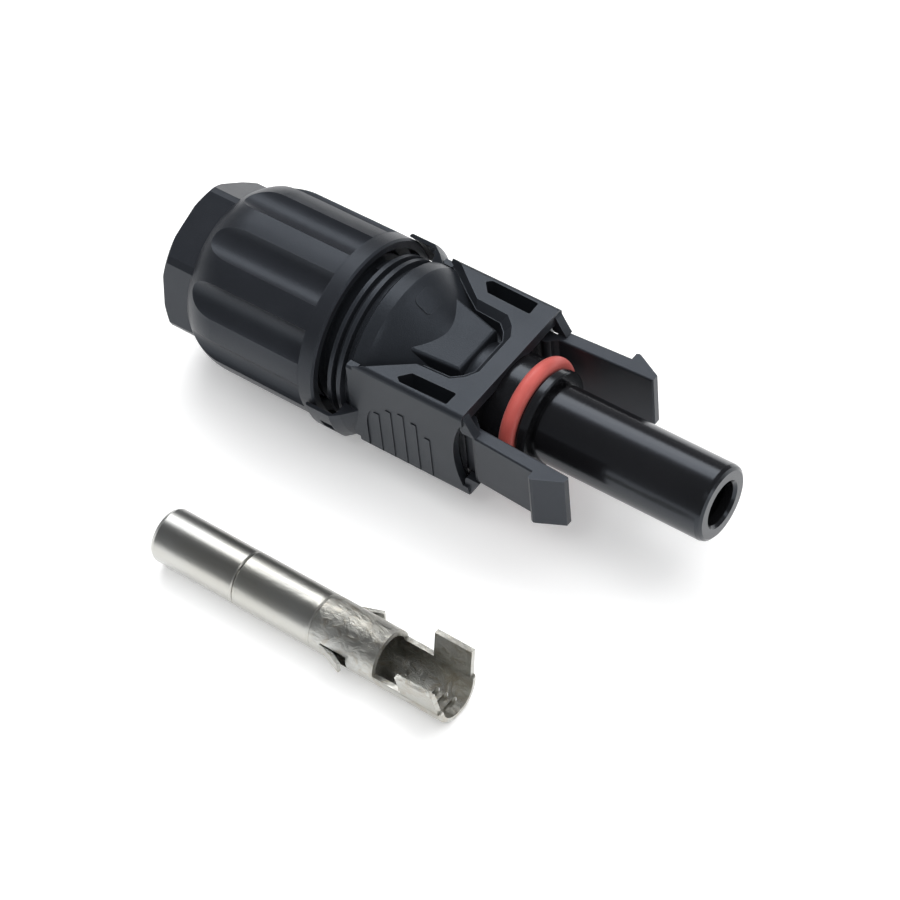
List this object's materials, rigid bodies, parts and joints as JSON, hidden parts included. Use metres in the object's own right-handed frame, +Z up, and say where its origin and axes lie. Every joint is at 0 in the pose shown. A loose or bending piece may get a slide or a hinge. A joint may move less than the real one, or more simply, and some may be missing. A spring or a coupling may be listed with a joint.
{
  "type": "solar cable connector",
  "caption": "Single-pole solar cable coupler with a probe, two locking arms and a threaded cable gland, lying beside its loose crimp contact.",
  "frame": {"origin": "on the coupler's axis, at the front face of the housing, inside the bore that holds the contact", "axes": "+X along the axis toward the mating probe, +Z up through the recessed panel, +Y to the left seen from the cable end"},
  "size_m": [0.0587, 0.0397, 0.019],
  "materials": {
    "shell_plastic": "satin charcoal moulding",
    "probe_plastic": "glossy black moulding",
    "arm_plastic": "satin charcoal moulding",
    "seal_ring": "muted red silicone",
    "gland_rubber": "dull black rubber",
    "basket_plastic": "satin black moulding",
    "nut_plastic": "satin charcoal moulding",
    "tinned_copper": "bright tin plate",
    "tinned_sleeve": "bright tin plate",
    "spring_metal": "bright spring strip"
  },
  "bodies": {
    "housing": {"housing_shell": "shell_plastic", "contact_carrier": "probe_plastic", "o_ring": "seal_ring"},
    "arm_left": {"locking_arm_left": "arm_plastic"},
    "arm_right": {"locking_arm_right": "arm_plastic"},
    "basket": {"clamp_basket": "basket_plastic", "gland_seal": "gland_rubber"},
    "nut": {"union_nut": "nut_plastic"},
    "contact": {"contact_barrel": "tinned_copper", "contact_sleeve": "tinned_sleeve", "contact_spring": "spring_metal"}
  },
  "joints": [
    {"name": "arm_left_flex", "type": "hinge", "parent": "housing", "child": "arm_left", "pos_m": [-0.00055, 0.0061, 0], "axis": [0, 0, -1], "range_deg": [0, 7], "stiffness_Nm_per_rad": 0.004},
    {"name": "arm_right_flex", "type": "hinge", "parent": "housing", "child": "arm_right", "pos_m": [-0.00055, -0.0061, 0], "axis": [0, 0, 1], "range_deg": [0, 7], "stiffness_Nm_per_rad": 0.004},
    {"name": "gland_travel", "type": "slide", "parent": "housing", "child": "basket", "axis": [1, 0, 0], "range_m": [-0.00451, 0.00226]},
    {"name": "nut_turn", "type": "hinge", "parent": "basket", "child": "nut", "pos_m": [-0.0257, 0, 0], "axis": [1, 0, 0], "range_deg": [-1080, 540]},
    {"name": "contact_lift", "type": "slide", "parent": "housing", "child": "contact", "axis": [0, 0, 1], "range_m": [0, 0.03]}
  ],
  "couplings": [
    {"joint": "gland_travel", "follows": "nut_turn", "m_per_rad": 0.00023873}
  ]
}
